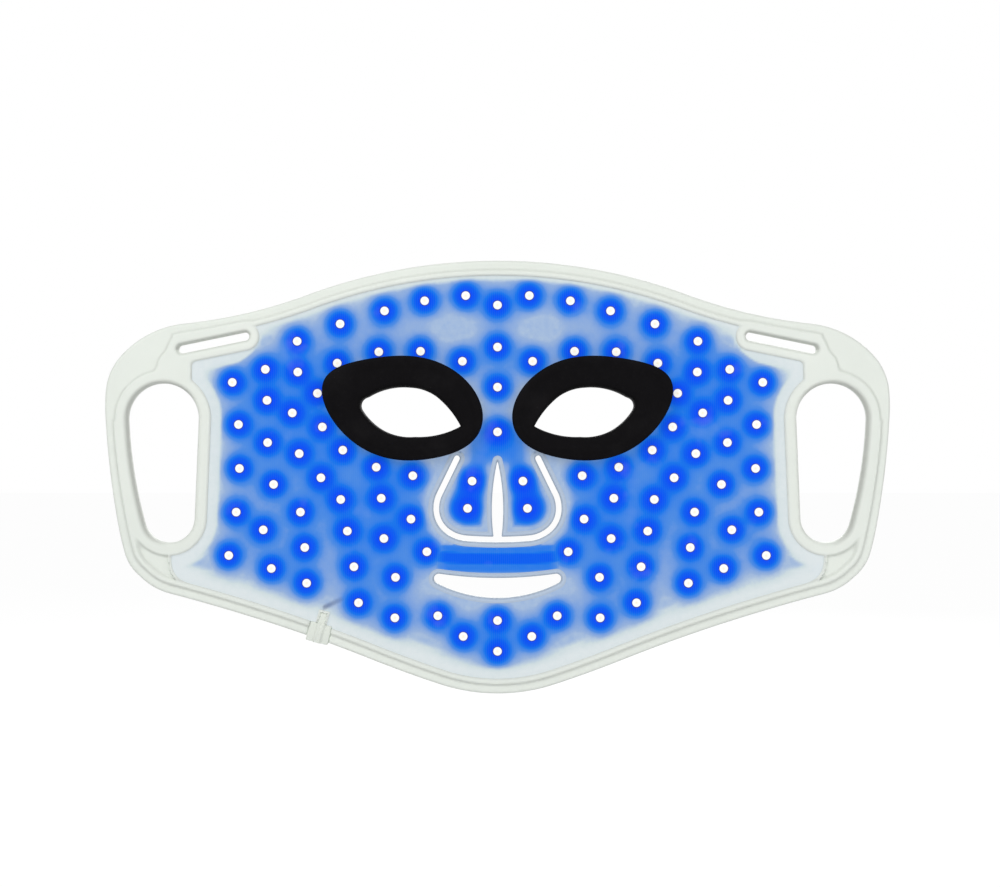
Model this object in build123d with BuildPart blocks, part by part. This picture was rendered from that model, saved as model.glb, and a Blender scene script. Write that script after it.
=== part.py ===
from build123d import *
from math import cos, hypot, radians, sin
import os

os.makedirs("parts", exist_ok=True)

# The sheet stands upright: +X to the right, +Z up, the skin side faces -Y.
# Depth y = 0 is the crest of the raised rim, the surface that meets the face.

# --- overall size, mm
sheet_width = 380.6
sheet_height = 210.0

# --- depths through the sheet, mm
skin_recess = 1.0
flange_recess = 1.6
skin_thick = 1.8
diffuser_thick = 0.8
circuit_thick = 0.3
wall_thick = 1.3

# --- rim and openings, mm
flange_width = 4.6
ridge_width = 2.8
margin_width = 2.4
ring_width = 6.2
slit_width = 2.8
strap_slot_long = 35.0
strap_slot_high = 4.0
boss_border = 5.0
strap_tilt = 11.6

# --- bending lines, mm
bend_at = 104.0
root_at = -23.4
cut_gap = 0.3

# --- lamps, mm
lamp_side = 2.8
lamp_nest_gap = 0.2
window_across = 3.9
window_gap = 0.05
window_proud = 0.3

# --- eye shields, mm
shield_height = 6.0
neck_wall = 3.0
collar_width = 2.0
shield_round = 1.6

# --- cable inlet, mm
gland_wide = 11.0
gland_deep = 9.5
sleeve_wide = 5.2
sleeve_deep = 6.5
sleeve_space = 0.3
cable_hole = 2.8
gland_turn = -15.0
wire_across = 0.9
wire_pitch = 1.6
board_wide = 11.0
board_high = 6.0
board_thick = 0.3
cavity_depth = 0.9
sleeve_front = 0.6
sleeve_back = 4.6
tab_size = 4.2
tab_proud = 0.8
chip_side = 3.0
chip_thick = 0.85
resistor_long = 1.6
resistor_wide = 0.8
resistor_thick = 0.5
sensor_nest_gap = 0.4

# --- small edge breaks, mm
window_break = 0.3

# --- derived depths and scales
skin_front = skin_recess
skin_back = skin_front + skin_thick
circuit_front = skin_back + diffuser_thick
wall_front = circuit_front + circuit_thick
outer_face = wall_front + wall_thick
board_front = circuit_front - board_thick
rim_width = flange_width + ridge_width
spread = sheet_width / 380.6
rise = sheet_height / 210.0


def at(across, up):
    """A place on the sheet, which moves with the sheet's overall size."""
    return (across * spread, up * rise)


def sheet_plane(depth):
    """The plane parallel to the sheet at a depth, seen from the skin side."""
    return Plane(origin=(0, depth, 0), x_dir=(1, 0, 0), z_dir=(0, -1, 0))


def arc_run(places, heading):
    """Arcs from place to place, each leaving in the direction the last one arrived."""
    for begin, finish in zip(places[:-1], places[1:]):
        bow = TangentArc(begin, finish, tangent=heading)
        heading = bow % 1


def slab(shape, front, back, mode=Mode.ADD):
    """Fill a flat outline from one depth to another."""
    with BuildSketch(sheet_plane(back)) as face:
        add(shape)
    extrude(face.sketch, amount=back - front, mode=mode)


def lamp_row(start, finish, bow, count):
    """Lamps evenly along a line that bows sideways as a parabola."""
    (x0, z0), (x1, z1) = start, finish
    length = hypot(x1 - x0, z1 - z0)
    row = []
    for step in range(count):
        t = step / (count - 1)
        lift = 4 * bow * t * (1 - t) / length
        row.append(at(x0 + t * (x1 - x0) - lift * (z1 - z0), z0 + t * (z1 - z0) + lift * (x1 - x0)))
    return row


def both_sides(places):
    """The places of the right half and their mirror images."""
    return places + [(-x, z) for x, z in places]


# --- lamps of the right half, row by row
centre_lamps = lamp_row((15.4, 55.4), (54.7, 48.0), 1.2, 3)
centre_lamps += lamp_row((76.2, 41.7), (97.0, 33.3), 0, 2)
centre_lamps += lamp_row((17.0, 23.6), (77.6, 22.7), 5.8, 4)
centre_lamps += lamp_row((87.2, 8.1), (84.8, -8.2), 0, 2)
centre_lamps += lamp_row((74.9, -19.4), (41.0, -31.8), 2.2, 3)
centre_lamps += lamp_row((96.7, 18.4), (96.0, -21.1), 3.0, 3)
centre_lamps += lamp_row((85.5, -32.8), (75.9, -43.3), 0, 2)
centre_lamps += lamp_row((95.4, -49.4), (92.4, -83.8), -0.6, 3)
centre_lamps += lamp_row((72.7, -58.6), (67.3, -93.3), -0.5, 3)
centre_lamps += lamp_row((56.3, -42.7), (34.2, -68.6), -4.4, 3)
centre_lamps += lamp_row((55.0, -62.2), (49.7, -100.6), -3.0, 3)
centre_lamps += lamp_row((28.9, -99.6), (16.6, -109.6), 0, 2)
middle_lamps = [at(0, 50.8), at(0, 30.5), at(0, 11.1), at(0, -10.6), at(0, -101.9), at(0, -116.8)]
centre_lamps = both_sides(centre_lamps) + middle_lamps
wing_lamps = lamp_row((128.4, 13.4), (112.4, 19.7), 0, 2)
wing_lamps += lamp_row((111.6, 4.7), (108.4, -36.0), 1.3, 3)
wing_lamps += lamp_row((113.4, -58.0), (109.5, -76.7), 0, 2)
wing_lamps += lamp_row((125.4, -7.0), (130.1, -70.4), -2.3, 4)
flap_lamps = lamp_row((12.3, -34.4), (14.5, -47.6), 0, 2)

bend = bend_at * spread
root = root_at * rise

# --- outlines, drawn flat: across is x, up is z
upper_edge = [at(0, 72.5), at(92, 56), at(152, 42), at(183, 26), at(190, 10), at(190.3, -2)]
lower_edge = [at(0, -137.5), at(28, -133), at(61, -121), at(111, -103), at(159, -89), at(173, -81)]
with BuildSketch() as outline:
    with BuildLine():
        arc_run(upper_edge, (1, 0))
        arc_run([upper_edge[-1], at(184, -56), at(181, -69), lower_edge[-1]], (-0.05, -1))
        arc_run(lower_edge, (1, 0))
        mirror(about=Plane.YZ)
    make_face()

with BuildSketch() as rim_step:
    add(outline.sketch)
    offset(amount=-flange_width, mode=Mode.REPLACE)

with BuildSketch() as rim_inside:
    add(outline.sketch)
    offset(amount=-rim_width, mode=Mode.REPLACE)

side_top = at(161.9, 12.9)
with BuildSketch() as side_hole:
    with BuildLine():
        inner_side = Line(at(146.9, -52), at(144.9, -4))
        head = ThreePointArc(inner_side @ 1, side_top, at(179.1, -5))
        outer_side = ThreePointArc(head @ 1, at(176.8, -29), at(171.2, -55))
        foot = ThreePointArc(outer_side @ 1, at(160, -64.3), inner_side @ 0)
    make_face()
    mirror(about=Plane.YZ)

with BuildSketch() as side_ring:
    add(side_hole.sketch)
    offset(amount=ring_width, mode=Mode.REPLACE)

slot_spots = both_sides([at(137.6, 32.6)])
with BuildSketch() as strap_slots:
    for x, z in slot_spots:
        with Locations(Location((x, z, 0), (0, 0, -strap_tilt if x > 0 else strap_tilt))):
            SlotOverall(strap_slot_long, strap_slot_high)

with BuildSketch() as strap_bosses:
    for x, z in slot_spots:
        with Locations(Location((x, z, 0), (0, 0, -strap_tilt if x > 0 else strap_tilt))):
            SlotOverall(strap_slot_long + 2 * boss_border, strap_slot_high + 2 * boss_border)

with BuildSketch() as boss_bridge:
    with BuildLine():
        Polyline(at(149, 26), at(158.5, 31), at(164, 17), at(150, 8), at(147.5, 14), at(150, 20), close=True)
    make_face()
    mirror(about=Plane.YZ)

with BuildSketch() as mouth:
    with BuildLine():
        upper_lip = ThreePointArc(at(-28.5, -79.3), at(0, -81.4), at(28.5, -79.3))
        right_end = ThreePointArc(upper_lip @ 1, at(30.8, -81.1), at(29.6, -84))
        lower_lip = ThreePointArc(right_end @ 1, at(0, -91.2), at(-29.6, -84))
        left_end = ThreePointArc(lower_lip @ 1, at(-30.8, -81.1), upper_lip @ 0)
    make_face()

with BuildSketch() as nose_middle:
    with BuildLine():
        side = ThreePointArc(at(0, -24.5), at(2.5, -41), at(1.8, -62.5))
        Line(side @ 1, at(0, -62.5))
        mirror(about=Plane.YZ)
    make_face()

with BuildSketch() as nose_loop:
    with BuildLine():
        below = [at(0, -62.8), at(15.2, -62.2), at(24.5, -58.6), at(29.7, -48.8), at(27.6, -39.6)]
        arc_run(below, (1, 0))
        Polyline(at(27.6, -39.6), at(17.1, -18), at(0, -18))
        mirror(about=Plane.YZ)
    make_face()

with BuildSketch() as nose_inside:
    add(nose_loop.sketch)
    offset(amount=-slit_width / 2, mode=Mode.REPLACE)

slit_tops = both_sides([at(19.7, root_at)])
with BuildSketch() as below_root:
    with Locations((0, root - 40 * rise)):
        Rectangle(80 * spread, 80 * rise)

with BuildSketch() as nose_slit:
    add(nose_loop.sketch)
    offset(amount=slit_width / 2, mode=Mode.REPLACE)
    add(nose_inside.sketch, mode=Mode.SUBTRACT)
    add(below_root.sketch, mode=Mode.INTERSECT)
    with Locations(*slit_tops):
        Circle(slit_width / 2)
    add(nose_middle.sketch)

with BuildSketch() as slit_margin:
    add(nose_loop.sketch)
    offset(amount=slit_width / 2 + margin_width, mode=Mode.REPLACE)
    with BuildSketch(mode=Mode.SUBTRACT):
        add(nose_loop.sketch)
        offset(amount=-slit_width / 2 - margin_width, mode=Mode.REPLACE)
    add(below_root.sketch, mode=Mode.INTERSECT)
    with Locations(*slit_tops):
        Circle(slit_width / 2 + margin_width)
    with BuildSketch():
        add(nose_middle.sketch)
        offset(amount=margin_width, mode=Mode.REPLACE)

with BuildSketch() as mouth_margin:
    add(mouth.sketch)
    offset(amount=margin_width, mode=Mode.REPLACE)

with BuildSketch() as eye_oval:
    with BuildLine():
        upper_oval = [at(84.3, 6.5), at(74.5, 21.5), at(50, 26), at(23, 20.3)]
        lower_oval = [at(7.2, -1), at(17, -18.8), at(41, -24.4), at(68, -16.6)]
        Spline(*upper_oval, *lower_oval, periodic=True)
    make_face()
    mirror(about=Plane.YZ)

with BuildSketch() as eye_opening:
    with BuildLine():
        inner_corner = at(17.6, -7.9)
        lid = [inner_corner, at(34.5, 9.3), at(42, 11.3), at(61.5, 7.4), at(65.85, -0.4)]
        arc_run(lid + [at(52, -11.7), at(38, -13.1), inner_corner], (0.574, 0.819))
    make_face()
    fillet(eye_opening.vertices().sort_by(Axis.X)[0], radius=1.2)
    mirror(about=Plane.YZ)

with BuildSketch() as eye_neck:
    add(eye_opening.sketch)
    offset(amount=neck_wall, mode=Mode.REPLACE)

with BuildSketch() as eye_collar:
    add(eye_opening.sketch)
    offset(amount=neck_wall + collar_width, mode=Mode.REPLACE)

gland_place = Location((*at(-86.6, -108.0), 0), (0, 0, gland_turn))
with BuildSketch() as gland_block:
    with Locations(gland_place):
        Rectangle(gland_wide, gland_deep)
    add(outline.sketch, mode=Mode.INTERSECT)

with BuildSketch() as gland_sleeve:
    with Locations(gland_place * Location((0, gland_deep / 2 + sleeve_deep / 2, 0))):
        Rectangle(sleeve_wide, sleeve_deep)

with BuildSketch() as sleeve_room:
    with Locations(gland_place * Location((0, (gland_deep + sleeve_deep + sleeve_space) / 2, 0))):
        Rectangle(sleeve_wide, sleeve_deep + sleeve_space)

board_place = gland_place * Location((5.4, gland_deep / 2 + sleeve_deep + 6.4, 0))
with BuildSketch() as board_shape:
    with Locations(board_place):
        Rectangle(board_wide, board_high)

with BuildSketch() as inlet_cavity:
    with Locations(gland_place * Location((4.6, gland_deep / 2 + sleeve_deep + 4.9, 0))):
        Rectangle(board_wide + 4.0, board_high + 5.6)

# --- the pocket that holds the lit layers, and the raised lines
corner_zone = both_sides([at(190, 24)])
with BuildSketch() as ridge:
    add(rim_step.sketch)
    add(rim_inside.sketch, mode=Mode.SUBTRACT)
    with Locations(*corner_zone):
        Rectangle(66 * spread, 60 * rise, mode=Mode.SUBTRACT)
    add(side_ring.sketch)
    add(strap_bosses.sketch)
    add(boss_bridge.sketch)
    add(side_hole.sketch, mode=Mode.SUBTRACT)
    add(strap_slots.sketch, mode=Mode.SUBTRACT)
    add(gland_block.sketch, mode=Mode.SUBTRACT)

with BuildSketch() as pocket:
    add(rim_inside.sketch)
    Rectangle(316 * spread, 300 * rise, mode=Mode.INTERSECT)
    add(side_ring.sketch, mode=Mode.SUBTRACT)
    add(strap_bosses.sketch, mode=Mode.SUBTRACT)
    add(boss_bridge.sketch, mode=Mode.SUBTRACT)
    with Locations(*both_sides([at(160, 30)])):
        Rectangle(24 * spread, 60 * rise, mode=Mode.SUBTRACT)
    add(mouth_margin.sketch, mode=Mode.SUBTRACT)
    add(slit_margin.sketch, mode=Mode.SUBTRACT)
    add(eye_collar.sketch, mode=Mode.SUBTRACT)
    add(gland_block.sketch, mode=Mode.SUBTRACT)
    add(sleeve_room.sketch, mode=Mode.SUBTRACT)


with BuildSketch() as raised_margins:
    add(mouth_margin.sketch)
    add(slit_margin.sketch)
    add(eye_collar.sketch)
    add(mouth.sketch, mode=Mode.SUBTRACT)
    add(nose_slit.sketch, mode=Mode.SUBTRACT)
    add(eye_neck.sketch, mode=Mode.SUBTRACT)

with BuildSketch() as sheet_shape:
    add(outline.sketch)
    add(side_hole.sketch, mode=Mode.SUBTRACT)
    add(strap_slots.sketch, mode=Mode.SUBTRACT)
    add(mouth.sketch, mode=Mode.SUBTRACT)
    add(nose_slit.sketch, mode=Mode.SUBTRACT)
    add(eye_neck.sketch, mode=Mode.SUBTRACT)
    add(gland_block.sketch, mode=Mode.SUBTRACT)

# --- the zones the sheet is divided into where it bends
with BuildSketch() as flap_window:
    add(nose_inside.sketch)
    add(below_root.sketch, mode=Mode.INTERSECT)

with BuildSketch() as centre_zone:
    Rectangle(2 * bend - cut_gap, 3 * sheet_height)
    add(flap_window.sketch, mode=Mode.SUBTRACT)

wing_span = sheet_width / 2 - bend
with BuildSketch() as wing_zone:
    with Locations((-bend - cut_gap / 2 - wing_span / 2, 0)):
        Rectangle(wing_span, 3 * sheet_height)

flap_box_high = 60 * rise
flap_box_wide = 40 * spread
with BuildSketch() as flap_zone:
    with Locations((-flap_box_wide / 2, root - cut_gap - flap_box_high / 2)):
        Rectangle(flap_box_wide, flap_box_high)
    add(nose_inside.sketch, mode=Mode.INTERSECT)


def zone_slab(shape, zone, front, back, mode=Mode.ADD):
    """The stretch of a flat outline that lies in one zone, from one depth to another."""
    with BuildSketch() as piece:
        add(shape.sketch)
        add(zone.sketch, mode=Mode.INTERSECT)
    slab(piece.sketch, front, back, mode)


def shell_of(zone):
    """The silicone shell of one zone: a flat back wall and a raised rim around the pocket."""
    zone_slab(sheet_shape, zone, flange_recess, outer_face)
    zone_slab(ridge, zone, 0, flange_recess)
    zone_slab(pocket, zone, 0, wall_front, Mode.SUBTRACT)


def layer_of(zone, front, back):
    """One full layer of the pocket in one zone."""
    zone_slab(pocket, zone, front, back)


def round_holes(places):
    """The holes in the skin that the windows stand in."""
    with BuildSketch() as holes:
        with Locations(*places):
            Circle(window_across / 2)
    slab(holes.sketch, 0, skin_back, Mode.SUBTRACT)


def square_nests(places):
    """The holes in the diffuser that the lamps stand in."""
    with BuildSketch() as nests:
        with Locations(*places):
            Rectangle(lamp_side + 2 * lamp_nest_gap, lamp_side + 2 * lamp_nest_gap)
    slab(nests.sketch, skin_back, circuit_front, Mode.SUBTRACT)


def lamps_at(places):
    """Square lamp packages standing on the circuit."""
    with BuildSketch() as packages:
        with Locations(*places):
            Rectangle(lamp_side, lamp_side)
    slab(packages.sketch, skin_back, circuit_front)


def windows_at(places):
    """Clear round windows that stand a little proud of the skin."""
    with BuildSketch() as discs:
        with Locations(*places):
            Circle(window_across / 2 - window_gap)
    slab(discs.sketch, skin_front - window_proud, skin_back)


def edges_at(part, depth):
    """The edges that lie at one depth."""
    return part.edges().filter_by_position(Axis.Y, depth - 0.01, depth + 0.01)


left_wing_lamps = [(-x, z) for x, z in wing_lamps]
left_flap_lamps = [(-x, z) for x, z in flap_lamps]
sensor_at = at(10, 18)

# --- the centre of the sheet
with BuildPart() as centre_shell:
    shell_of(centre_zone)
    zone_slab(raised_margins, centre_zone, skin_front, flange_recess)
    slab(sleeve_room.sketch, 0, sleeve_back, Mode.SUBTRACT)
    with BuildSketch(sheet_plane(flange_recess)) as tab:
        with Locations(gland_place * Location((8.2, -1.2, 0))):
            Rectangle(tab_size, tab_size)
    extrude(amount=tab_proud)

with BuildPart() as centre_skin:
    layer_of(centre_zone, skin_front, skin_back)
    round_holes(centre_lamps)
    slab(inlet_cavity.sketch, skin_back - cavity_depth, skin_back, Mode.SUBTRACT)

with BuildPart() as centre_diffuser:
    layer_of(centre_zone, skin_back, circuit_front)
    square_nests(centre_lamps)
    slab(inlet_cavity.sketch, skin_back, circuit_front, Mode.SUBTRACT)
    with BuildSketch(sheet_plane(circuit_front)):
        with Locations(sensor_at):
            Rectangle(resistor_long + sensor_nest_gap, resistor_wide + sensor_nest_gap)
    extrude(amount=diffuser_thick, mode=Mode.SUBTRACT)

with BuildPart() as centre_circuit:
    layer_of(centre_zone, circuit_front, wall_front)

with BuildPart() as centre_lamp_chips:
    lamps_at(centre_lamps)

with BuildPart() as centre_windows:
    windows_at(centre_lamps)
    chamfer(edges_at(centre_windows.part, skin_front - window_proud), length=window_break)

# --- the left wing, and its mirror image
with BuildPart() as left_wing_shell:
    shell_of(wing_zone)

with BuildPart() as left_wing_skin:
    layer_of(wing_zone, skin_front, skin_back)
    round_holes(left_wing_lamps)

with BuildPart() as left_wing_diffuser:
    layer_of(wing_zone, skin_back, circuit_front)
    square_nests(left_wing_lamps)

with BuildPart() as left_wing_circuit:
    layer_of(wing_zone, circuit_front, wall_front)

with BuildPart() as left_wing_lamp_chips:
    lamps_at(left_wing_lamps)

with BuildPart() as left_wing_windows:
    windows_at(left_wing_lamps)
    chamfer(edges_at(left_wing_windows.part, skin_front - window_proud), length=window_break)

# --- the left nose flap, and its mirror image
with BuildPart() as left_flap_shell:
    zone_slab(sheet_shape, flap_zone, skin_front, outer_face)
    zone_slab(pocket, flap_zone, skin_front, wall_front, Mode.SUBTRACT)

with BuildPart() as left_flap_skin:
    layer_of(flap_zone, skin_front, skin_back)
    round_holes(left_flap_lamps)

with BuildPart() as left_flap_diffuser:
    layer_of(flap_zone, skin_back, circuit_front)
    square_nests(left_flap_lamps)

with BuildPart() as left_flap_circuit:
    layer_of(flap_zone, circuit_front, wall_front)

with BuildPart() as left_flap_lamp_chips:
    lamps_at(left_flap_lamps)

with BuildPart() as left_flap_windows:
    windows_at(left_flap_lamps)
    chamfer(edges_at(left_flap_windows.part, skin_front - window_proud), length=window_break)

# --- eye shields: a cushion on the skin side, with a neck through the sheet
with BuildPart() as left_eye_shield:
    slab(eye_oval.sketch.faces().sort_by(Axis.X)[0], skin_front - shield_height, skin_front)
    slab(eye_neck.sketch.faces().sort_by(Axis.X)[0], skin_front, outer_face)
    fillet(edges_at(left_eye_shield.part, skin_front - shield_height), radius=shield_round)
    slab(eye_opening.sketch.faces().sort_by(Axis.X)[0], -shield_height, outer_face, Mode.SUBTRACT)

# --- cable inlet: a moulded gland, its leads and the small control board
gland_x, gland_z = gland_place.position.X, gland_place.position.Y
out_dir = (sin(radians(gland_turn)), 0, -cos(radians(gland_turn)))
gland_axis = Plane(origin=(gland_x, outer_face / 2, gland_z), x_dir=(0, 1, 0), z_dir=out_dir)
with BuildPart() as cable_gland:
    slab(gland_block.sketch, 0, outer_face)
    slab(gland_sleeve.sketch, sleeve_front, sleeve_back)
    with BuildSketch(gland_axis):
        Circle(cable_hole / 2)
    extrude(amount=gland_deep + sleeve_deep, both=True, mode=Mode.SUBTRACT)

leads_from = gland_deep / 2 + sleeve_deep + sleeve_space + 0.05
leads_to = leads_from + 5.95
wire_depth = board_front - wire_across / 2
with BuildPart() as lead_wires:
    for side in (-1, 1):
        start = gland_place * Location((side * wire_pitch / 2, leads_from, 0))
        finish = gland_place * Location((2.4, leads_to - side * wire_pitch / 2, 0))
        begin = Vector(start.position.X, wire_depth, start.position.Y)
        end = Vector(finish.position.X, wire_depth, finish.position.Y)
        away = Vector(-out_dir[0], 0, -out_dir[2])
        across = Vector(-out_dir[2], 0, out_dir[0])
        with BuildLine() as run:
            Spline(begin, end, tangents=(away, across))
        with BuildSketch(Plane(origin=begin, z_dir=away)):
            Circle(wire_across / 2)
        sweep(path=run.line)

with BuildPart() as control_board:
    slab(board_shape.sketch, board_front, circuit_front)

with BuildPart() as driver_chip:
    with BuildSketch(sheet_plane(board_front)):
        with Locations(board_place * Location((0.8, 0, 0))):
            Rectangle(chip_side, chip_side)
    extrude(amount=chip_thick)

with BuildPart() as resistors:
    with BuildSketch(sheet_plane(board_front)):
        with Locations(board_place * Location((4.0, 1.3, 0)), board_place * Location((4.0, -1.3, 0))):
            Rectangle(resistor_long, resistor_wide)
    extrude(amount=resistor_thick)

with BuildPart() as heat_sensor:
    with BuildSketch(sheet_plane(circuit_front)):
        with Locations(sensor_at):
            Rectangle(resistor_long, resistor_wide)
    extrude(amount=resistor_thick)

# --- the right-hand pieces are mirror images of the left-hand ones
mirrored = {
    "right_wing_shell": left_wing_shell,
    "right_wing_skin": left_wing_skin,
    "right_wing_diffuser": left_wing_diffuser,
    "right_wing_circuit": left_wing_circuit,
    "right_wing_lamp_chips": left_wing_lamp_chips,
    "right_wing_windows": left_wing_windows,
    "right_flap_shell": left_flap_shell,
    "right_flap_skin": left_flap_skin,
    "right_flap_diffuser": left_flap_diffuser,
    "right_flap_circuit": left_flap_circuit,
    "right_flap_lamp_chips": left_flap_lamp_chips,
    "right_flap_windows": left_flap_windows,
    "right_eye_shield": left_eye_shield,
}
as_drawn = {
    "centre_shell": centre_shell,
    "centre_skin": centre_skin,
    "centre_diffuser": centre_diffuser,
    "centre_circuit": centre_circuit,
    "centre_lamp_chips": centre_lamp_chips,
    "centre_windows": centre_windows,
    "left_wing_shell": left_wing_shell,
    "left_wing_skin": left_wing_skin,
    "left_wing_diffuser": left_wing_diffuser,
    "left_wing_circuit": left_wing_circuit,
    "left_wing_lamp_chips": left_wing_lamp_chips,
    "left_wing_windows": left_wing_windows,
    "left_flap_shell": left_flap_shell,
    "left_flap_skin": left_flap_skin,
    "left_flap_diffuser": left_flap_diffuser,
    "left_flap_circuit": left_flap_circuit,
    "left_flap_lamp_chips": left_flap_lamp_chips,
    "left_flap_windows": left_flap_windows,
    "left_eye_shield": left_eye_shield,
    "cable_gland": cable_gland,
    "lead_wires": lead_wires,
    "control_board": control_board,
    "driver_chip": driver_chip,
    "resistors": resistors,
    "heat_sensor": heat_sensor,
}
for name, piece in as_drawn.items():
    piece.part.label = name
    export_step(piece.part, f"parts/{name}.step")

for name, piece in mirrored.items():
    with BuildPart() as twin:
        add(piece.part)
        mirror(about=Plane.YZ, mode=Mode.REPLACE)
    twin.part.label = name
    export_step(twin.part, f"parts/{name}.step")
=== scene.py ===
"""A flat, flexible silicone light mask for the face, seen from its lit skin side.

Lengths in the shape functions are millimetres: x runs across the sheet, z up it, and y is depth,
0 at the crest of the raised rim and growing towards the outer face.
"""
from math import atan2, cos, hypot, pi, radians, sin

import bpy
import numpy as np
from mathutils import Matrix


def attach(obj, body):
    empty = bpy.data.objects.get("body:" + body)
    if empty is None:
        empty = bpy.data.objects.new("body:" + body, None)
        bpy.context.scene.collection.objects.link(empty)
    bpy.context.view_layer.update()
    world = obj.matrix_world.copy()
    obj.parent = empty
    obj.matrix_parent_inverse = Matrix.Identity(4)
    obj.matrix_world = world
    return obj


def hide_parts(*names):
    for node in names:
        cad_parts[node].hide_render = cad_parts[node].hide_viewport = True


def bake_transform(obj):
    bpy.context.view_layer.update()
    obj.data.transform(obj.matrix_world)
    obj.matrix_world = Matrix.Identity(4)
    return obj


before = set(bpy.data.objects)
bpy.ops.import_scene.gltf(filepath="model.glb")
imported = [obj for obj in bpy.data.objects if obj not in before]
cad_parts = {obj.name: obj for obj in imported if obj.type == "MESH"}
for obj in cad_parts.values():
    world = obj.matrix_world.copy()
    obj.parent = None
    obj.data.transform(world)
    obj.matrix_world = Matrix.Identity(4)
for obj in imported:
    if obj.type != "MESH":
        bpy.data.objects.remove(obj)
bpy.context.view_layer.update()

MM = 0.001

# depths of the surfaces through the sheet, from the skin side
FLANGE = 1.6
SKIN_FRONT = 1.0
SKIN_BACK = 2.8
CIRCUIT_FRONT = 3.6
WALL_FRONT = 3.9
OUTER_FACE = 5.2

# widths and places on the sheet: the raised line and rings, the nose flaps' roots, the bending
# lines, the bridge between ring and strap slot, and the sides of the lit field
FLANGE_WIDTH = 4.6
RIDGE_WIDTH = 2.8
MARGIN = 2.4
RING = 6.2
SLIT = 2.8
ROOT = -23.4
BEND = 104.0
BEND_REACH = 20.0
BRIDGE_AT = (156.5, 20.0)
BRIDGE_REACH = 8.5
FIELD_SIDE = 148.0
FIELD_SIDE_LOW = 158.0
CORNER_ROUND = 9.0

# strap slots and the raised line round each
STRAP_AT = (137.6, 32.6)
STRAP_TILT = radians(-11.6)
STRAP_LONG = 35.0
STRAP_HIGH = 4.0
BOSS = 5.0

# eye shields
NECK = 3.0
COLLAR = 2.0
SHIELD_HEIGHT = 6.0
EYE_MIDDLE = np.array((44.5, 0.0))

# cable gland: half sizes, and reaches from its middle along the cable
GLAND_AT = np.array((-86.6, -108.0))
GLAND_TURN = radians(-15)
GLAND_OUT = np.array((sin(GLAND_TURN), -cos(GLAND_TURN)))
GLAND_SIDE = np.array((cos(GLAND_TURN), sin(GLAND_TURN)))
GLAND_HALF_WIDE = 5.5
GLAND_HALF_DEEP = 4.75
GLAND_CUT = 9.0
SLEEVE_HALF_WIDE = 2.7
SLEEVE_END = 11.25
BORE = 1.4

# lamps: half a package, a window's radius, and the light of one lamp
LAMP_HALF = 1.4
WINDOW_REACH = 2.6
POOL = 5.0
POOL_POWER = 2.2
SPREAD = 11.0
SPREAD_SHARE = 0.2

# how far the skin runs under the raised parts, and the films stop short of them
FILM_LAP = 0.4
# the window of the nose flaps: its reach above their roots, and the sheet's lap into it
WINDOW_ABOVE = 4.0
WINDOW_LAP = 0.7
# the faces of overlapping plates are kept this far apart
BACK_SINK = 0.03
FLAP_SINK = 0.05

# the grids that the sheet and the flaps are cut from
SHEET_REACH = 191.0
SHEET_Z = (-139.0, 75.0)
FLAP_REACH = 36.0
FLAP_Z = (-64.0, -16.0)

HANDS = ((-1, "left"), (1, "right"))


# ---------------------------------------------------------------- lines on the sheet

def arc_run(places, heading, pitch=0.5):
    """Points along arcs from place to place. Each arc leaves in the direction the last one arrived.
    The angle between heading and chord is half the arc's turn, so it arrives at twice the chord's
    angle less the heading's."""
    out = []
    turn = atan2(heading[1], heading[0])
    for (x0, z0), (x1, z1) in zip(places[:-1], places[1:]):
        chord = hypot(x1 - x0, z1 - z0)
        lean = atan2(z1 - z0, x1 - x0) - turn
        lean = (lean + pi) % (2 * pi) - pi
        t = np.linspace(0, 1, max(3, int(chord / pitch)), endpoint=False)
        if abs(lean) < 1e-6:
            away, aside = chord * t, 0 * t
        else:
            radius = chord / (2 * sin(lean))
            away, aside = radius * np.sin(2 * lean * t), radius * (1 - np.cos(2 * lean * t))
        x = x0 + away * cos(turn) - aside * sin(turn)
        z = z0 + away * sin(turn) + aside * cos(turn)
        out.append(np.stack([x, z], 1))
        turn += 2 * lean
    return np.concatenate(out + [np.array([places[-1]], float)])


def through(a, b, c, pitch=0.5):
    """Points on the circle's arc from a through b to c: the centre is where the bisectors cross."""
    (ax, az), (bx, bz), (cx, cz) = a, b, c
    d = 2 * (ax * (bz - cz) + bx * (cz - az) + cx * (az - bz))
    aa, bb, cc = ax * ax + az * az, bx * bx + bz * bz, cx * cx + cz * cz
    ox = (aa * (bz - cz) + bb * (cz - az) + cc * (az - bz)) / d
    oz = (aa * (cx - bx) + bb * (ax - cx) + cc * (bx - ax)) / d
    radius = hypot(ax - ox, az - oz)
    first, mid, last = (atan2(pz - oz, px - ox) for px, pz in (a, b, c))
    sweep = (last - first) % (2 * pi)
    if (mid - first) % (2 * pi) > sweep:
        sweep -= 2 * pi
    angle = first + np.linspace(0, sweep, max(4, int(abs(sweep) * radius / pitch)))
    return np.stack([ox + radius * np.cos(angle), oz + radius * np.sin(angle)], 1)


def mirrored(half):
    """A closed loop from the points of its right half, which runs from the top middle to the foot."""
    return np.concatenate([half, (half * [-1, 1])[::-1][1:-1]])


def even(loop, count):
    """A closed loop again, as count points at even spacing along it."""
    ring = np.concatenate([loop, loop[:1]])
    run = np.concatenate([[0], np.cumsum(np.hypot(*np.diff(ring, axis=0).T))])
    at = np.linspace(0, run[-1], count, endpoint=False)
    return np.stack([np.interp(at, run, ring[:, 0]), np.interp(at, run, ring[:, 1])], 1)


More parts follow.
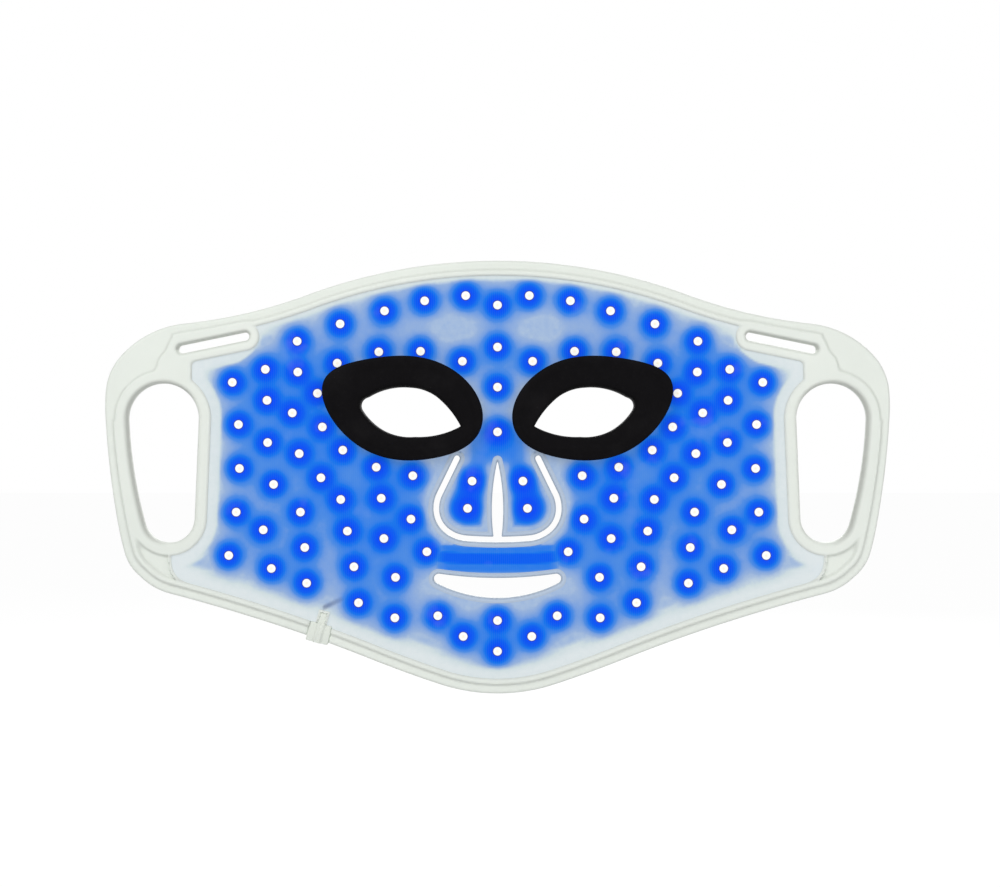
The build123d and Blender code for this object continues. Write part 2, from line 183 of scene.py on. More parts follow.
def closed_curve(places, count=260):
    """A smooth closed line through places: the sum of the waves that meet all of them."""
    p = np.array(places, float)
    waves = np.fft.fft(p[:, 0] + 1j * p[:, 1])
    turns = np.fft.fftfreq(len(p), 1 / len(p))
    t = np.linspace(0, 2 * pi, count, endpoint=False)
    line = (waves[None, :] * np.exp(1j * t[:, None] * turns)).sum(1) / len(p)
    return np.stack([line.real, line.imag], 1)


upper = arc_run([(0, 72.5), (92, 56), (152, 42), (183, 26), (190, 10), (190.3, -2)], (1, 0))
side = arc_run([(190.3, -2), (184, -56), (181, -69), (173, -81)], (-0.05, -1))
lower = arc_run([(0, -137.5), (28, -133), (61, -121), (111, -103), (159, -89), (173, -81)], (1, 0))
outline = even(mirrored(np.concatenate([upper, side[1:], lower[::-1][1:]])), 900)

side_hole = np.concatenate([
    through((144.9, -4), (161.9, 12.9), (179.1, -5)),
    through((179.1, -5), (176.8, -29), (171.2, -55))[1:],
    through((171.2, -55), (160, -64.3), (146.9, -52))[1:],
])
mouth = np.concatenate([
    through((-28.5, -79.3), (0, -81.4), (28.5, -79.3)),
    through((28.5, -79.3), (30.8, -81.1), (29.6, -84))[1:],
    through((29.6, -84), (0, -91.2), (-29.6, -84))[1:],
    through((-29.6, -84), (-30.8, -81.1), (-28.5, -79.3))[1:-1],
])
nose_half = arc_run([(0, -62.8), (15.2, -62.2), (24.5, -58.6), (29.7, -48.8), (27.6, -39.6)], (1, 0), 1.0)
nose_loop = mirrored(np.concatenate([nose_half, [(17.1, -18.0), (0, -18.0)]]))
nose_slit = np.concatenate([nose_half, [(19.7, ROOT)]])
nose_middle = mirrored(np.concatenate([through((0, -24.5), (2.5, -41), (1.8, -62.5)), [(0, -62.5)]]))
eye_oval = closed_curve([(84.3, 6.5), (74.5, 21.5), (50, 26), (23, 20.3),
                         (7.2, -1), (17, -18.8), (41, -24.4), (68, -16.6)])
eye_opening = np.concatenate([
    through((17.8, -7.9), (23, 0), (29, 6)),
    through((29, 6), (35, 9.4), (42.3, 10.9))[1:],
    through((42.3, 10.9), (53, 10.2), (62.6, 6.2))[1:],
    through((62.6, 6.2), (65.9, 3.4), (65.4, -0.2))[1:],
    through((65.4, -0.2), (61, -5.6), (55.6, -9.7))[1:],
    through((55.6, -9.7), (49.0, -12.3), (39.9, -13.0))[1:],
    through((39.9, -13.0), (27.8, -11.8), (17.8, -7.9))[1:-1],
])


def signed(x, z, loop):
    """Distance from each place to a closed line, negative inside: the least distance to its short
    straight runs, signed by whether a ray to the right crosses them an odd number of times."""
    shape = np.shape(x)
    px, pz = np.ravel(x), np.ravel(z)
    a, b = loop, np.roll(loop, -1, axis=0)
    run = b - a
    long2 = np.maximum((run ** 2).sum(1), 1e-12)
    out = np.empty(px.size)
    for start in range(0, px.size, 4000):
        part = slice(start, start + 4000)
        dx, dz = px[part, None] - a[:, 0], pz[part, None] - a[:, 1]
        t = np.clip((dx * run[:, 0] + dz * run[:, 1]) / long2, 0, 1)
        near = np.sqrt(((dx - t * run[:, 0]) ** 2 + (dz - t * run[:, 1]) ** 2).min(1))
        straddles = (a[:, 1] > pz[part, None]) != (b[:, 1] > pz[part, None])
        with np.errstate(divide="ignore", invalid="ignore"):
            crosses = straddles & (dx < dz * run[:, 0] / run[:, 1])
        out[part] = np.where(crosses.sum(1) % 2 == 1, -near, near)
    return out.reshape(shape)


def near_line(x, z, line):
    """Distance from each place to an open line: the least distance to its short straight runs."""
    out = np.full(np.shape(x), 1e3)
    for (ax, az), (bx, bz) in zip(line[:-1], line[1:]):
        rx, rz = bx - ax, bz - az
        t = np.clip(((x - ax) * rx + (z - az) * rz) / (rx * rx + rz * rz), 0, 1)
        out = np.minimum(out, np.hypot(x - ax - t * rx, z - az - t * rz))
    return out


def racetrack(x, z, centre, tilt, length, width):
    """Distance to a slot with round ends, negative inside: the distance to its middle line less half
    its width."""
    u = (x - centre[0]) * cos(tilt) + (z - centre[1]) * sin(tilt)
    v = (z - centre[1]) * cos(tilt) - (x - centre[0]) * sin(tilt)
    u = np.abs(u) - (length - width) / 2
    return np.hypot(np.maximum(u, 0), v) - width / 2


def soft_min(a, b, round_=2.0):
    """The lesser of two distances, with the corner between them filled. Where they differ by less than
    round_, they are mixed by their difference, and the mix is lowered by round_ h (1 - h)."""
    h = np.clip(0.5 + 0.5 * (b - a) / round_, 0, 1)
    return b + (a - b) * h - round_ * h * (1 - h)


def ease(low, high, value):
    """0 below low, 1 above high, and a smooth S between."""
    t = np.clip((value - low) / (high - low), 0, 1)
    return t * t * (3 - 2 * t)


def gland_box(x, z, half_wide, inward, outward):
    """Distance to the gland's footprint, a turned rectangle, negative inside."""
    u = (x - GLAND_AT[0]) * GLAND_SIDE[0] + (z - GLAND_AT[1]) * GLAND_SIDE[1]
    s = (x - GLAND_AT[0]) * GLAND_OUT[0] + (z - GLAND_AT[1]) * GLAND_OUT[1]
    return np.maximum(np.abs(u) - half_wide, np.maximum(s - outward, -inward - s))


def kept(make):
    """Keeps what make gave for each set of places, since many pieces ask for the same ones."""
    known = {}

    def find(x, z):
        key = (x.shape, x.tobytes(), z.tobytes())
        if key not in known:
            known[key] = make(x, z)
        return known[key]
    return find


@kept
class Fields:
    """The distances that the sheet's shape is made of, at a set of places."""

    def __init__(self, x, z):
        ax = np.abs(x)
        self.x, self.z = x, z
        self.edge = signed(x, z, outline)
        self.hole = signed(ax, z, side_hole)
        self.slot = racetrack(ax, z, STRAP_AT, STRAP_TILT, STRAP_LONG, STRAP_HIGH)
        self.mouth = signed(x, z, mouth)
        self.nose = signed(x, z, nose_loop)
        self.slit = np.minimum(near_line(ax, z, nose_slit) - SLIT / 2, signed(x, z, nose_middle))
        self.eye = signed(ax, z, eye_opening)
        self.gland = gland_box(x, z, GLAND_HALF_WIDE, GLAND_HALF_DEEP, GLAND_CUT)
        self.sleeve = gland_box(x, z, SLEEVE_HALF_WIDE, SLEEVE_END, 0.0)
        ring = self.hole - RING
        boss = self.slot - BOSS
        bridge = np.hypot(ax - BRIDGE_AT[0], (z - BRIDGE_AT[1]) / 1.1) - BRIDGE_REACH
        self.raised = soft_min(soft_min(ring, boss, 3.0), bridge, 3.0)

    def pocket(self):
        """Distance to the border of the lit field, negative inside it: the greatest of the distances to
        the rim, the sides and the borders of the rings, the openings and the gland."""
        rim = self.edge + FLANGE_WIDTH + RIDGE_WIDTH
        side = np.abs(self.x) - np.where(self.z < -20, FIELD_SIDE_LOW, FIELD_SIDE)
        corner = -soft_min(-side, -rim, CORNER_ROUND)
        field = np.maximum(corner, -self.raised)
        field = np.maximum(field, MARGIN - self.mouth)
        field = np.maximum(field, MARGIN - self.slit)
        field = np.maximum(field, NECK + COLLAR - self.eye)
        return np.maximum(field, np.maximum(-self.gland, -self.sleeve))

    def ridge(self):
        """Distance to the raised line that frames the sheet and the rings it runs into, negative on
        them. The line stops in each upper corner, where the ring and the boss take its place."""
        middle_of_line = -(FLANGE_WIDTH + RIDGE_WIDTH / 2)
        line = np.abs(self.edge - middle_of_line) - RIDGE_WIDTH / 2
        in_corner = np.maximum(157 - np.abs(self.x), -6 - self.z)
        return soft_min(np.maximum(line, -in_corner), self.raised, 2.5)


# ---------------------------------------------------------------- lamps

def lamp_row(start, finish, bow, count):
    """Lamps evenly along a line that bows sideways as a parabola."""
    t = np.linspace(0, 1, count)[:, None]
    a, b = np.array(start, float), np.array(finish, float)
    aside = np.array([a[1] - b[1], b[0] - a[0]]) / hypot(*(b - a))
    return a + t * (b - a) + 4 * bow * t * (1 - t) * aside


face_lamps = np.concatenate([
    lamp_row((15.4, 55.4), (54.7, 48.0), 1.2, 3), lamp_row((76.2, 41.7), (97.0, 33.3), 0, 2),
    lamp_row((17.0, 23.6), (77.6, 22.7), 5.8, 4), lamp_row((87.2, 8.1), (84.8, -8.2), 0, 2),
    lamp_row((74.9, -19.4), (41.0, -31.8), 2.2, 3), lamp_row((96.7, 18.4), (96.0, -21.1), 3.0, 3),
    lamp_row((85.5, -32.8), (75.9, -43.3), 0, 2), lamp_row((95.4, -49.4), (92.4, -83.8), -0.6, 3),
    lamp_row((72.7, -58.6), (67.3, -93.3), -0.5, 3), lamp_row((56.3, -42.7), (34.2, -68.6), -4.4, 3),
    lamp_row((55.0, -62.2), (49.7, -100.6), -3.0, 3), lamp_row((28.9, -99.6), (16.6, -109.6), 0, 2),
    lamp_row((128.4, 13.4), (112.4, 19.7), 0, 2), lamp_row((111.6, 4.7), (108.4, -36.0), 1.3, 3),
    lamp_row((113.4, -58.0), (109.5, -76.7), 0, 2), lamp_row((125.4, -7.0), (130.1, -70.4), -2.3, 4),
])
middle_lamps = np.array([(0, 50.8), (0, 30.5), (0, 11.1), (0, -10.6), (0, -101.9), (0, -116.8)], float)
flap_lamps = lamp_row((12.3, -34.4), (14.5, -47.6), 0, 2)
all_lamps = np.concatenate([face_lamps, face_lamps * [-1, 1], middle_lamps,
                            flap_lamps, flap_lamps * [-1, 1]])


def light_of_lamps(x, z):
    """The lamps' own light. Each gives a tight pool, exp(-(r / POOL) ^ POOL_POWER), and a wide faint
    one, SPREAD_SHARE exp(-(r / SPREAD) ^ 2), at a distance r."""
    light = np.zeros(x.shape)
    for lx, lz in all_lamps:
        r = np.hypot(x - lx, z - lz)
        light += np.exp(-(r / POOL) ** POOL_POWER) + SPREAD_SHARE * np.exp(-(r / SPREAD) ** 2)
    return light


def beside_openings(f, on_flap):
    """Distance to the pale borders of the nose cut and the mouth, made longer on the flaps, at the
    upper ends of the slits and over the upper lip, where the light comes closer to the cuts."""
    ax = np.abs(f.x)
    by_nose = f.slit + 1.2 * on_flap + 3.0 * ease(ROOT - 12, ROOT, f.z)
    by_mouth = f.mouth + 7.0 * ease(-81.5, -78.5, f.z + 0.004 * f.x ** 2) * ease(38, 29, ax)
    aside = np.minimum(by_nose, by_mouth)
    lip_top = ease(0.0, 1.0, f.nose) * ease(-62.0, -64.0, f.z) * ease(38, 27, ax)
    return aside + lip_top * np.maximum(3.0 + 1.6 * (-64.5 - f.z) - aside, 0)


def lip_band(x, z):
    """The light across the upper lip: an even band with a brighter line along it. Both rise towards
    their ends as a parabola."""
    lip = z - 0.0012 * x ** 2
    band = ease(-80.5, -77.5, lip) * (1 - ease(-67.0, -64.8, lip)) * (1 - ease(24, 36, np.abs(x)))
    bright = ease(-75.0, -74.2, lip) * (1 - ease(-70.2, -69.2, lip))
    return band * (0.36 + 0.26 * bright)


def glow(x, z):
    """Light at each place. The lamps' light fades where the film ends, near the rim and the rings, and
    beside the openings. The flaps, the cheeks and the bridge of the nose are lit a little more evenly,
    and between lamps the field keeps a faint light of its own."""
    f = Fields(x, z)
    ax = np.abs(x)
    low = ease(10, -50, z)
    to_ring = f.raised + 6 * ease(128, 112, ax)
    on_flap = ease(0.5, -0.5, f.nose) * ease(ROOT + 3, ROOT - 7, z)
    light = light_of_lamps(x, z)
    light *= 0.12 + 0.88 * ease(7.2 + 2.0 * low, 11.0 + 4.0 * low, -f.edge)
    light *= 0.25 + 0.75 * ease(4.0, 6.2, to_ring)
    light += 0.24 * on_flap * ease(3.6, 8.0, f.slit)
    light += 0.07 * np.exp(-((ax - 60) / 32) ** 2 - ((z + 48) / 34) ** 2)
    light += 0.26 * np.exp(-(np.hypot(x, 1.3 * (z + 18.0)) / 15.0) ** 4) * (1 - on_flap)
    light *= 0.42 + 0.58 * ease(2.0, 7.2, beside_openings(f, on_flap))
    inner = ease(9.0 + 4.0 * low, 15.0 + 3.0 * low, -f.edge) * ease(5.0, 8.0, to_ring)
    return np.maximum(np.maximum(light, 0.105 * inner), lip_band(x, z))


def lead_shadow(x, z):
    """The shadow of the leads under the skin: nearness to the line from the gland to the board."""
    a, run = np.array((-83.6, -95.4)), np.array((7.6, 3.6))
    t = np.clip(((x - a[0]) * run[0] + (z - a[1]) * run[1]) / (run ** 2).sum(), 0, 1)
    away = np.hypot(x - a[0] - t * run[0], z - a[1] - t * run[1])
    return ease(1.7, 0.3, away) * (1 - 0.5 * t)


# ---------------------------------------------------------------- meshes

def make_mesh(name, points, faces, sharp=40, values=None):
    """A mesh object at the origin from points in millimetres and an array of triangles or quads."""
    mesh = bpy.data.meshes.new(name)
    mesh.from_pydata((points * MM).tolist(), [], faces if isinstance(faces, list) else faces.tolist())
    for key, value in (values or {}).items():
        mesh.attributes.new(key, "FLOAT", "POINT").data.foreach_set("value", value.astype(np.float32))
    mesh.polygons.foreach_set("use_smooth", np.ones(len(mesh.polygons), bool))
    mesh.update()
    mesh.set_sharp_from_angle(angle=radians(sharp))
    obj = bpy.data.objects.new(name, mesh)
    bpy.context.collection.objects.link(obj)
    return obj


def plate(inside, front, back, pitch, x_span, z_span, values=None):
    """A plate of the sheet as points, faces and values. Squares of a grid are kept where inside is
    negative, the border points slide down its slope onto the line where it is zero, and front and
    back give the two depths. The values colour the front, and are 0 on the back."""
    xs = np.linspace(*x_span, int(round((x_span[1] - x_span[0]) / pitch)) + 1)
    zs = np.linspace(*z_span, int(round((z_span[1] - z_span[0]) / pitch)) + 1)
    gx, gz = np.meshgrid(xs, zs, indexing="ij")
    level = inside(gx, gz)
    mean = (level[:-1, :-1] + level[1:, :-1] + level[1:, 1:] + level[:-1, 1:]) / 4
    i, j = np.nonzero(mean < 0)
    tall = len(zs)
    quads = np.stack([i * tall + j, (i + 1) * tall + j, (i + 1) * tall + j + 1, i * tall + j + 1], 1)
    used, quads = np.unique(quads, return_inverse=True)
    quads = quads.reshape(-1, 4)
    x, z = gx.ravel()[used].copy(), gz.ravel()[used].copy()
    count = len(used)
    edges = np.concatenate([quads[:, [k, (k + 1) % 4]] for k in range(4)])
    border = edges[~np.isin(edges[:, 0] * count + edges[:, 1], edges[:, 1] * count + edges[:, 0])]
    rim = np.unique(border)
    on_cut = np.isclose(x[rim], 0)
    for _ in range(3):
        here = inside(x[rim], z[rim])
        h = 0.05
        slope_x = (inside(x[rim] + h, z[rim]) - inside(x[rim] - h, z[rim])) / (2 * h)
        slope_z = (inside(x[rim], z[rim] + h) - inside(x[rim], z[rim] - h)) / (2 * h)
        steep = np.maximum(slope_x ** 2 + slope_z ** 2, 0.25)
        push = np.clip(here / steep, -pitch, pitch)
        x[rim] -= np.where(on_cut, 0, push * slope_x)
        z[rim] -= np.where(on_cut & (np.abs(here) > 1.2 * pitch), 0, push * slope_z)
    points = np.concatenate([np.stack([x, front(x, z), z], 1), np.stack([x, back(x, z), z], 1)])
    walls = np.stack([border[:, 1], border[:, 0], border[:, 0] + count, border[:, 1] + count], 1)
    faces = np.concatenate([quads, quads[:, ::-1] + count, walls])
    return points, faces, {k: np.concatenate([f(x, z), 0 * x]) for k, f in (values or {}).items()}


def together(*plates):
    """Several plates as one."""
    starts = np.cumsum([0] + [len(p[0]) for p in plates[:-1]])
    points = np.concatenate([p[0] for p in plates])
    faces = np.concatenate([p[1] + start for p, start in zip(plates, starts)])
    return points, faces, {k: np.concatenate([p[2][k] for p in plates]) for k in plates[0][2]}


def round_over(distance, radius):
    """How far a surface has dropped at a distance from its edge, for an edge rounded to a radius: the
    radius less the height of its circle there."""
    d = np.clip(distance, 0, radius)
    return radius - np.sqrt(np.maximum(radius ** 2 - (radius - d) ** 2, 0))


def rings_to_mesh(name, rings):
    """A closed surface through closed rings of equal count, each joined to the next and the last to
    the first."""
    rings = np.array(rings)
    rows, cols = rings.shape[:2]
    index = np.arange(rows * cols).reshape(rows, cols)
    beside = np.roll(index, -1, axis=1)
    below = np.roll(index, -1, axis=0)
    faces = np.stack([index, beside, np.roll(below, -1, axis=1), below], -1)
    return make_mesh(name, rings.reshape(-1, 3), faces.reshape(-1, 4), 35)


# ---------------------------------------------------------------- materials

class Wire:
    """A shader socket that Python's operators work on; each operator adds one Math node."""

    def __init__(self, tree, socket):
        self.tree, self.socket = tree, socket

    def maths(self, operation, *others):
        return self.tree.node("ShaderNodeMath", {"operation": operation}, self, *others)

    def __add__(self, other): return self.maths("ADD", other)
    def __sub__(self, other): return self.maths("SUBTRACT", other)
    def __mul__(self, other): return self.maths("MULTIPLY", other)
    def __truediv__(self, other): return self.maths("DIVIDE", other)
    def __pow__(self, other): return self.maths("POWER", other)
    def __radd__(self, other): return self + other
    def __rmul__(self, other): return self * other
    def __rsub__(self, other): return self.tree.node("ShaderNodeMath", {"operation": "SUBTRACT"}, other, self)

    def clamp(self):
        """The value held between 0 and 1."""
        return self.tree.node("ShaderNodeMath", {"operation": "ADD", "use_clamp": True}, self, 0.0)


class Tree:
    """A tree of shader nodes."""

    def __init__(self, tree):
        self.nodes, self.links = tree.nodes, tree.links

    def node(self, kind, settings, *values, out=0, **named):
        """Adds a node: its settings first, then the values or links of its sockets in order or by name."""
        made = self.nodes.new(kind)
        for key, value in settings.items():
            if key == "stops":
                ramp = made.color_ramp
                while len(ramp.elements) < len(value):
                    ramp.elements.new(0.5)
                for element, (at, colour) in zip(ramp.elements, value):
                    element.position, element.color = at, (*colour, 1)
            else:
                setattr(made, key, value)
        sockets = list(enumerate(values)) + [(k.replace("_", " "), v) for k, v in named.items()]
        for key, value in sockets:
            if isinstance(value, Wire):
                self.links.new(value.socket, made.inputs[key])
            elif value is not None:
                made.inputs[key].default_value = value
        return Wire(self, made.outputs[out])

    def seen(self, unseen, level):
        """A level where the camera, a mirror or glass sees the surface, and another where it only
        lights the object."""
        camera, mirror, glass = [self.node("ShaderNodeLightPath", {}, out=f"Is {ray} Ray")
                                 for ray in ("Camera", "Glossy", "Transmission")]
        return self.node("ShaderNodeMapRange", {}, (camera + mirror + glass).clamp(), 0.0, 1.0, unseen, level)


class Finish(Tree):
    """One material: a tree of nodes with a Principled shader at its end."""

    def __init__(self, name, **plain):
        self.material = bpy.data.materials.new(name)
        self.material.use_nodes = True
        super().__init__(self.material.node_tree)
        self.shader = self.nodes["Principled BSDF"]
        for socket, value in plain.items():
            self.shader.inputs[socket.replace("_", " ")].default_value = value
        self.place = self.node("ShaderNodeTexCoord", {}, out="Object")

    def noise(self, scale, detail=3.0):
        """Soft clouds, so many to a metre."""
        return self.node("ShaderNodeTexNoise", {}, Vector=self.place, Scale=scale, Detail=detail,
                         Roughness=0.5)

    def weave(self, direction, scale, distortion):
        """Fine parallel threads."""
        return self.node("ShaderNodeTexWave", {"bands_direction": direction}, Vector=self.place, Scale=scale,
                         Distortion=distortion, out="Fac")

    def cells(self, scale):
        """Distance to the middle of the nearest of many cells."""
        return self.node("ShaderNodeTexVoronoi", {}, Vector=self.place, Scale=scale)

    def spots(self, scale, low, high):
        """Noise cut to 0 below one level and 1 above another."""
        return ((self.noise(scale) - low) * (1 / (high - low))).clamp()

    def mix(self, factor, a, b):
        """A colour between two, which go into the node's seventh and eighth sockets."""
        a, b = [(*c, 1) if isinstance(c, tuple) else c for c in (a, b)]
        return self.node("ShaderNodeMix", {"data_type": "RGBA"}, factor, *[None] * 5, a, b, out=2)

    def value_of(self, name):
        """What the mesh carries under a name."""
        return self.node("ShaderNodeAttribute", {"attribute_name": name}, out="Fac")

    def feed(self, **sockets):
        """Links values to the shader's sockets."""
        for name, wire in sockets.items():
            self.links.new(wire.socket, self.shader.inputs[name.replace("_", " ")])
        return self

    def lit(self, colour):
        """Gives off a colour, at a strength of 1."""
        self.shader.inputs["Emission Strength"].default_value = 1.0
        return self.feed(Emission_Color=colour)

    def bump(self, height, strength, distance):
        """Raises the surface by a height in 0..1, so many metres at the most."""
        return self.feed(Normal=self.node("ShaderNodeBump", {}, Height=height, Strength=strength,
                                          Distance=distance, out="Normal"))

    def on(self, obj):
        """Puts the material on an object and gives the object back."""
        obj.data.materials.clear()
        obj.data.materials.append(self.material)
        return obj


BLACK = (0.0, 0.0, 0.0)


def shell_finish():
    """White silicone with a faint green cast: soft moulding grain, light dust, painted shade in its creases,
    and blue where the lit field shines in."""
    f = Finish("shell_silicone", IOR=1.41, Roughness=0.4, Specular_IOR_Level=0.3)
    cloud = f.noise(22.0, 4.0)
    tone = f.mix(cloud, (0.79, 0.835, 0.775), (0.86, 0.90, 0.84))
    dust = f.spots(900.0, 0.66, 0.74)
    tone = f.mix(dust * 0.10, tone, (0.66, 0.67, 0.63))
    leak = f.value_of("leak")
    tone = f.mix(leak, tone, (0.37, 0.44, 0.54))
    shade = f.mix(leak, (0.42, 0.43, 0.40), (0.07, 0.08, 0.11))
    # painted shade: darker in the creases, at the feet of the raised lines, round the holes and slots and at
    # the cut edges
    tone = f.mix(0.62 * f.value_of("crease"), tone, shade)
    f.feed(Base_Color=tone, Roughness=0.36 + 0.14 * f.noise(160.0, 3.0))
    f.lit(f.mix(leak, BLACK, (0.10, 0.13, 0.18)))
    return f.bump(f.noise(700.0, 2.0) * 0.6 + f.noise(60.0, 2.0) * 0.4, 0.25, 0.00012)


def skin_finish():
    """Clear silicone over lit film: milky where no lamp reaches, blue between lamps, deep blue around
    each, with the woven grain of the film, faint pale blotches and the shadow of the leads."""
    f = Finish("skin_silicone", IOR=1.41, Roughness=0.5, Specular_IOR_Level=0.03)
    light = f.value_of("glow") * (0.90 + 0.20 * f.noise(130.0, 4.0)) + 0.035 * (f.noise(420.0, 3.0) - 0.5)
    stops = [(0.0, (0.76, 0.82, 0.835)), (0.045, (0.65, 0.745, 0.77)), (0.12, (0.314, 0.456, 0.735)),
             (0.24, (0.078, 0.270, 0.785)), (0.40, (0.007, 0.185, 0.85)), (0.60, (0.0, 0.118, 0.90)),
             (1.0, (0.0, 0.076, 0.95))]
    ramp = f.node("ShaderNodeValToRGB", {"stops": stops}, light.clamp(), out="Color")
    blotch = f.spots(55.0, 0.60, 0.74)
    tint = f.mix(0.07 * blotch + 0.02 * f.weave("X", 320.0, 1.5), ramp, (0.55, 0.66, 0.86))
    tint = f.mix(0.62 * f.value_of("lead"), tint, (0.045, 0.065, 0.20))
    f.feed(Base_Color=f.mix(0.5, tint, BLACK), Roughness=0.45 + 0.18 * f.noise(220.0, 3.0))
    f.lit(f.mix(0.5, tint, BLACK))
    return f.bump(f.noise(900.0, 2.0) * 0.5 + f.noise(45.0, 2.0) * 0.5, 0.3, 0.0002)


def window_finish():
    """Clear lamp window, lit white with a warm heart, in a thin dark blue ring of its own shadow."""
    f = Finish("lamp_window", IOR=1.43, Roughness=0.2, Specular_IOR_Level=0.4)
    outward = f.value_of("out") + 0.02 * f.noise(1800.0, 2.0)
    stops = [(0.0, (1.0, 0.90, 0.66)), (0.22, (1.0, 0.95, 0.84)), (0.42, (1.0, 1.0, 0.99)),
             (0.77, (1.0, 1.0, 1.0)), (0.83, (0.03, 0.06, 0.34)), (0.90, (0.0, 0.018, 0.26)),
             (1.0, (0.0, 0.076, 0.90))]
    colour = f.node("ShaderNodeValToRGB", {"stops": stops}, outward.clamp(), out="Color")
    f.feed(Base_Color=f.mix(0.6, colour, BLACK), Roughness=0.12 + 0.2 * f.noise(600.0, 2.0))
    return f.lit(f.mix(0.38, colour, BLACK))


def cushion_finish():
    """Matt black foam silicone: fine closed pores, a slight dusty sheen, rubbed a little paler in
    patches."""
    f = Finish("eye_cushion", IOR=1.45, Specular_IOR_Level=0.08)
    dust = f.spots(420.0, 0.56, 0.70)
    rub = f.spots(70.0, 0.50, 0.72)
    tone = f.mix(0.5 * dust, (0.0022, 0.0018, 0.0024), (0.0048, 0.0042, 0.0050))
    tone = f.mix(0.4 * rub, tone, (0.009, 0.0083, 0.009))
    f.feed(Base_Color=tone, Roughness=0.60 + 0.18 * f.noise(300.0, 3.0))
    pores = f.cells(2600.0)
    return f.bump(pores * 0.6 + f.noise(1400.0, 2.0) * 0.4, 0.35, 0.00010)


def gland_finish():
    """The shell's silicone, a shade greyer, with clouds, pale scuffs and a fine grain."""
    f = Finish("gland_silicone", IOR=1.41, Specular_IOR_Level=0.4)
    tone = f.mix(f.noise(120.0, 4.0), (0.74, 0.785, 0.72), (0.83, 0.87, 0.80))
    tone = f.mix(0.25 * f.spots(600.0, 0.58, 0.7), tone, (0.62, 0.64, 0.60))
    f.feed(Base_Color=tone, Roughness=0.38 + 0.2 * f.noise(240.0, 3.0))
    return f.bump(f.noise(900.0, 2.0), 0.3, 0.00012)


def film_finish(name, low, high, gloss):
    """White film: flow marks, a fine woven grain and a few specks."""
    f = Finish(name, IOR=1.5)
    weave = f.weave("DIAGONAL", 900.0, 1.0)
    tone = f.mix(f.noise(90.0, 4.0) * 0.7 + weave * 0.3, low, high)
    tone = f.mix(0.3 * f.spots(700.0, 0.62, 0.7), tone, (0.35, 0.36, 0.38))
    f.feed(Base_Color=tone, Roughness=gloss + 0.15 * f.noise(300.0, 2.0))
    return f.bump(weave * 0.5 + f.noise(500.0, 2.0) * 0.5, 0.2, 0.00005)


def circuit_finish():
    """Flexible circuit: white cover film with copper tracks that show through as faint raised lines."""
    f = Finish("circuit_film", IOR=1.5)
    track = f.value_of("track")
    tone = f.mix(f.noise(80.0, 4.0), (0.62, 0.64, 0.66), (0.72, 0.74, 0.75))
    tone = f.mix(track * 0.75, tone, (0.50, 0.30, 0.13))
    f.feed(Base_Color=tone, Roughness=0.3 + 0.2 * f.noise(260.0, 3.0), Metallic=track * 0.35)
    return f.bump(track * 0.7 + f.noise(700.0, 2.0) * 0.3, 0.4, 0.00006)


def small_part_finish(name, low, high, scale, roughness):
    """A small moulded part: two tones in fine clouds, specks, and a fine grain."""
    f = Finish(name, IOR=1.5)
    tone = f.mix(f.noise(scale, 4.0), low, high)
    speck = tuple(min(1, 1.6 * c + 0.01) for c in high)
    tone = f.mix(0.3 * f.spots(scale * 4, 0.6, 0.7), tone, speck)
    f.feed(Base_Color=tone, Roughness=roughness + 0.15 * f.noise(scale * 2, 2.0))
    return f.bump(f.noise(1800.0, 2.0), 0.3, 0.00004)


shell = shell_finish()
skin = skin_finish()
window = window_finish()
cushion = cushion_finish()
gland_rubber = gland_finish()
diffuser_film = film_finish("diffuser_film", (0.74, 0.76, 0.78), (0.84, 0.86, 0.87), 0.5)
circuit_film = circuit_finish()
lamp_package = small_part_finish("lamp_package", (0.78, 0.78, 0.70), (0.88, 0.88, 0.80), 500.0, 0.3)
lead_insulation = small_part_finish("lead_insulation", (0.030, 0.030, 0.036), (0.045, 0.045, 0.052),
                                    400.0, 0.4)
board_laminate = small_part_finish("board_laminate", (0.020, 0.13, 0.06), (0.035, 0.19, 0.09), 300.0, 0.35)
chip_body = small_part_finish("chip_body", (0.018, 0.018, 0.019), (0.030, 0.030, 0.031), 700.0, 0.55)
resistor_body = small_part_finish("resistor_body", (0.05, 0.05, 0.055), (0.08, 0.08, 0.085), 900.0, 0.35)
sensor_body = small_part_finish("sensor_body", (0.26, 0.13, 0.045), (0.36, 0.19, 0.07), 900.0, 0.3)


# ---------------------------------------------------------------- the sheet's shape

def in_sheet(f):
    """Negative on the sheet's silicone: inside the outline and outside every hole."""
    solid = np.maximum(f.edge, np.maximum(-f.hole, -f.slot))
    solid = np.maximum(solid, np.maximum(-f.mouth, NECK - f.eye))
    return np.maximum(solid, np.maximum(-f.slit, -f.gland))


def nose_window(f):
    """Negative in the window of the nose flaps, which reaches a little above their roots."""
    return np.maximum(f.nose, f.z - (ROOT + WINDOW_ABOVE))


def shell_front(x, z):
    """Depth of the shell's skin side: the flange, with the framing line, the rings and the borders
    of the openings raised on it, and every edge rounded over, widest round the side holes and slots."""
    f = Fields(x, z)
    pocket = f.pocket()
    border = np.minimum(np.minimum(f.mouth, f.slit), f.eye - 2.6) - MARGIN
    ridge = np.where((pocket < 1.2) & (border > 0.3), np.minimum(f.ridge(), -0.8), f.ridge())
    depth = FLANGE - FLANGE * ease(0.5, -0.7, ridge)
    depth = depth + 0.45 * round_over(pocket, 0.8) / 0.8 * (border > 0.3)
    depth = np.where(border < 0.3, np.minimum(depth, SKIN_FRONT), depth)
    into = -in_sheet(f)
    wide = np.minimum(f.hole, f.slot)
    return depth + 0.8 * round_over(into, 1.2) / 1.2 + 1.3 * round_over(wide, 2.4) / 2.4 * (wide > -1)


